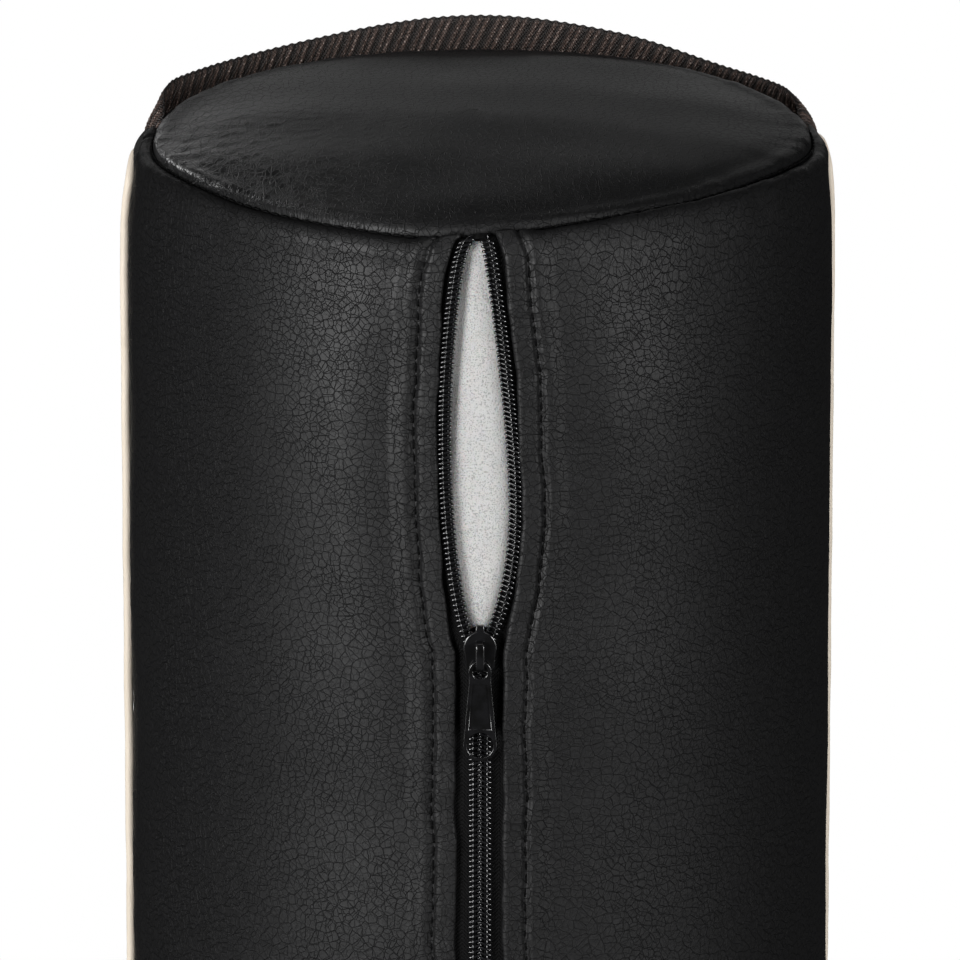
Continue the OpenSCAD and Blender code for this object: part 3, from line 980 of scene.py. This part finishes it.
def slider_pawl():
    """The lock spring's nose under the bridge, with its pin."""
    foot = WING_OUT + 0.2
    block = [(-0.7, -1.6), (0.7, -1.6), (0.7, 1.4), (-0.7, 1.4)]
    pin = [(-0.4, -0.4), (0.4, -0.4), (0.4, 0.4), (-0.4, 0.4)]
    points, faces = joined([plate([block], foot, foot + 1.2, 0.25, SLIDER_Z),
                            plate([pin], WING_IN + 0.1, foot + 0.1, 0.1, SLIDER_Z)])
    rigid_piece("slider_pawl", points, faces, ENAMEL, "lock")


def pull_tab():
    """The tab: a round eye, a dished shank that widens downwards, and a round window at its end."""
    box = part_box("pull_tab")
    near, far = -box[1].y / MM, -box[0].y / MM
    top, bottom = box[1].z / MM - SLIDER_Z, box[0].z / MM - SLIDER_Z
    eye_r, eye_hole, window = 3.2, 2.1, 3.7
    end_r = window + 0.95
    eye_z, window_z = top - eye_r, bottom + end_r
    neck = eye_z - eye_hole - 1.0
    outline = circle(0, eye_z, eye_r, -20, 200, 30) + [(-3.05, neck)]
    outline += circle(0, window_z, end_r, 172, 368, 34) + [(3.05, neck)]
    holes = [circle(0, eye_z, eye_hole), circle(0, window_z, window)]
    low = window_z + window + 1.0
    dish = [(-1.95, neck - 0.6), (1.95, neck - 0.6), (window - 0.55, low), (-window + 0.55, low)]
    parts = [plate([outline] + holes, near, far - 0.3, 0.2, SLIDER_Z),
             plate([outline, dish] + holes, far - 0.6, far, 0.24, SLIDER_Z)]
    points, faces = joined(parts)
    rigid_piece("pull_tab", points, faces, ENAMEL, "pull")


# ---------------------------------------------------------------- the carry strap


def strap_edge(bearing):
    """Height of the hanging strap's upper edge, by the angle from the middle of the back."""
    return LENGTH - DOME + 5.8 * bump(bearing / math.radians(27)) - 2.4 * ease((bearing - 0.4) / 0.4)


def strap_place(bearing, below):
    """Points on the strap's middle layer, by the angle from the back and the distance below its edge.

    It hangs free behind the bolster and lies over the rim towards its ends, which dive into the cap seam."""
    bearing, below = np.broadcast_arrays(bearing, below)
    degrees = np.degrees(bearing)
    free = ease((degrees + 76) / 18) * (1 - ease((degrees - 56) / 20))
    hang = RADIUS + 2.2
    hung = np.stack([hang * np.sin(bearing), hang * np.cos(bearing), strap_edge(bearing) - below], axis=-1)
    dive = ease((np.abs(degrees) - 70) / 13)
    laid = place((math.pi - bearing) * RADIUS, below - 3.0 + 3.0 * dive, 2.2 - 6.2 * dive)
    return hung * free[..., None] + laid * (1 - free[..., None])


def handle_strap():
    """Ribbed webbing that stands on its edge round the back of the bolster."""
    width, thick = 25.0, 1.5
    end = math.radians(84)
    along = spaced([(-end * RADIUS, 0.45), (end * RADIUS, 0.45)])
    across = np.linspace(-width / 2, width / 2, 59)
    phase = 2 * math.pi * (along[:, None] + RIB_SLOPE * across[None, :]) / RIB_PITCH
    rib = 0.5 + 0.5 * np.cos(phase)
    knuckle = 0.5 + 0.5 * np.cos(2 * math.pi * across[None, :] / YARN_PITCH + phase * 0.5)
    edge = 1 - bump((width / 2 - np.abs(across[None, :])) / 0.7) * 0.8
    raised = (0.75 * rib**0.8 + 0.25 * knuckle) * edge
    scallop = 0.22 * np.cos(phase) * ease((np.abs(across) - width / 2 + 1.2) / 1.2)[None, :]
    spread = across[None, :] + np.sign(across)[None, :] * scallop
    middle = strap_place((along / RADIUS)[:, None], width / 2 + spread)
    face = unit(np.cross(np.gradient(middle, axis=0), np.gradient(middle, axis=1)))
    proud = (thick / 2 * edge + 0.75 * raised - 0.45)[..., None]
    points = np.concatenate([(middle + proud * face).reshape(-1, 3), (middle - proud * face).reshape(-1, 3)])
    obj = mesh_object("handle_strap", points, shell_faces(along.size, across.size), WEBBING)
    store(obj, "weave", np.tile(triples(across[None, :], along[:, None]), (2, 1)))
    store(obj, "raised", np.tile(raised.ravel(), 2))
    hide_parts("handle_strap")
    bend(obj)


# ---------------------------------------------------------------- build


def finish_hidden_nodes():
    """The strap's tails, sealed inside the cover, keep their CAD shape and get their own finish."""
    for node in ("strap_tail_left", "strap_tail_right"):
        obj = frame["nodes"][node]
        obj.data.materials.clear()
        obj.data.materials.append(WEBBING)


foam_core()
cap("top_cap", True)
cap("bottom_cap", False)
rear_panel()
for which in (-1, 1):
    front_panel(which)
    piping(which)
    zip_tape(which)
    zip_coil(which)
    along_coil("coil_cord", which, 0.0, 0.0, 0.42, THREAD)
    along_coil("coil_stitch", which, -0.5, 0.98, 0.17, NYLON, 6, 0.26)
    topstitch(which)
zip_stop("zip_top_stop", 1.0, 1)
zip_stop("zip_bottom_stop", WALL_LEN - 2.4, 1)
seam_thread("top_seam_thread", True)
seam_thread("bottom_seam_thread", False)
slider_body()
slider_crown()
slider_pawl()
pull_tab()
handle_strap()
finish_hidden_nodes()

# ---------------------------------------------------------------- floor, light and camera


def backdrop_material(name, seen, felt):
    """White to the camera, and a quieter grey to the object that it lights."""
    material = bpy.data.materials.new(name)
    material.use_nodes = True
    tree = material.node_tree
    tree.nodes.clear()
    ray = tree.nodes.new("ShaderNodeLightPath")
    glow = tree.nodes.new("ShaderNodeEmission")
    glow.inputs["Color"].default_value = (seen, seen, seen, 1)
    dull = tree.nodes.new("ShaderNodeBsdfDiffuse")
    dull.inputs["Color"].default_value = (felt, felt, felt, 1)
    mix = tree.nodes.new("ShaderNodeMixShader")
    out = tree.nodes.new("ShaderNodeOutputMaterial")
    tree.links.new(ray.outputs["Is Camera Ray"], mix.inputs[0])
    tree.links.new(dull.outputs[0], mix.inputs[1])
    tree.links.new(glow.outputs[0], mix.inputs[2])
    tree.links.new(mix.outputs[0], out.inputs["Surface"])
    return material


def floor():
    """A wide white floor, a little below the bolster so that the two don't share a plane."""
    half, gap = 6000.0, 0.3
    points = np.array([(-half, -half, -gap), (half, -half, -gap), (half, half, -gap), (-half, half, -gap)])
    mesh = bpy.data.meshes.new("floor")
    mesh.from_pydata((points * MM).tolist(), [], [(0, 1, 2, 3)])
    mesh.materials.append(backdrop_material("floor_white", 1.0, 0.12))
    obj = bpy.data.objects.new("floor", mesh)
    bpy.context.scene.collection.objects.link(obj)


def world():
    """A backdrop that is white to the camera and nearly dark to the object."""
    made = bpy.data.worlds.new("studio")
    bpy.context.scene.world = made
    made.use_nodes = True
    tree = made.node_tree
    back = tree.nodes["Background"]
    ray = tree.nodes.new("ShaderNodeLightPath")
    mix = tree.nodes.new("ShaderNodeMix")
    mix.data_type = "RGBA"
    mix.inputs[6].default_value = (0.004, 0.004, 0.004, 1)
    mix.inputs[7].default_value = (1, 1, 1, 1)
    tree.links.new(ray.outputs["Is Camera Ray"], mix.inputs[0])
    tree.links.new(mix.outputs[2], back.inputs["Color"])


def softbox(name, azimuth, elevation, distance, size, power):
    """An area light aimed at the top of the bolster, with its distance and size in metres.

    Azimuth 0 is in front, and positive is to the right."""
    a, e = math.radians(azimuth), math.radians(elevation)
    target = Vector((0, 0, (LENGTH - 100) * MM))
    away = Vector((math.sin(a) * math.cos(e), -math.cos(a) * math.cos(e), math.sin(e)))
    light = bpy.data.lights.new(name, "AREA")
    light.shape = "RECTANGLE"
    light.size, light.size_y = size
    light.energy = power
    obj = bpy.data.objects.new(name, light)
    bpy.context.scene.collection.objects.link(obj)
    obj.location = target + away * distance
    obj.rotation_euler = (-away).to_track_quat("-Z", "Y").to_euler()
    obj.visible_camera = False
    return obj


def light_only(light, names):
    """Keeps a light off everything but the named pieces, as a studio flag would."""
    group = bpy.data.collections.new(light.name + "_falls_on")
    for name in names:
        group.objects.link(bpy.data.objects[name + "_look"])
    light.light_linking.receiver_collection = group


def camera():
    """A long lens from the front and a little above, framed on the top of the bolster."""
    distance, elevation, seen_width, aim_drop = 3.1, math.radians(17.2), 0.2743, 0.1095
    aim = Vector((0, 0, LENGTH * MM - aim_drop))
    back = Vector((0, -math.cos(elevation), math.sin(elevation)))
    data = bpy.data.cameras.new("camera")
    data.sensor_width = 36
    data.lens = data.sensor_width * distance / seen_width
    data.clip_end = 50
    obj = bpy.data.objects.new("camera", data)
    bpy.context.scene.collection.objects.link(obj)
    obj.location = aim + back * distance
    obj.rotation_euler = (-back).to_track_quat("-Z", "Y").to_euler()
    bpy.context.scene.camera = obj


floor()
world()
softbox("key_left", -38, 6, 1.7, (0.7, 0.9), 20.5)
softbox("fill_right", 47, 5, 1.7, (0.9, 0.9), 9.8)
softbox("top_left", -52, 52, 1.8, (0.7, 0.7), 3.2)
softbox("top_right", 52, 52, 1.8, (0.7, 0.7), 3.2)
light_only(softbox("tip_left", -141, 24, 1.7, (0.5, 0.4), 4), ["top_cap"])
softbox("back", 180, 6, 2.2, (1.4, 0.7), 2.7)
METAL_PIECES = ["slider_body", "slider_crown", "slider_pawl", "pull_tab"]
COIL_PIECES = [side_name(stem, side) for stem in ("zip_coil", "coil_stitch") for side in (-1, 1)]
for side in (-1, 1):
    for stem, azimuth, elevation, distance, size, power, pieces in (
        ("zip_glint", 62, 16, 1.5, (0.4, 0.5), 28, METAL_PIECES + COIL_PIECES),
        ("metal_edge", 88, -15, 1.4, (0.25, 0.9), 5, METAL_PIECES),
        ("trim", 70, 12, 1.5, (0.5, 0.8), 7, [side_name("piping", side), "handle_strap"]),
        ("strap_end", 60, 50, 1.7, (0.4, 0.3), 4.5, ["handle_strap"]),
    ):
        light_only(softbox(side_name(stem, side), azimuth * side, elevation, distance, size, power), pieces)
light_only(softbox("strap_front", -8, 38, 1.7, (0.5, 0.3), 2), ["handle_strap"])
camera()
bpy.context.scene.view_settings.view_transform = "Standard"
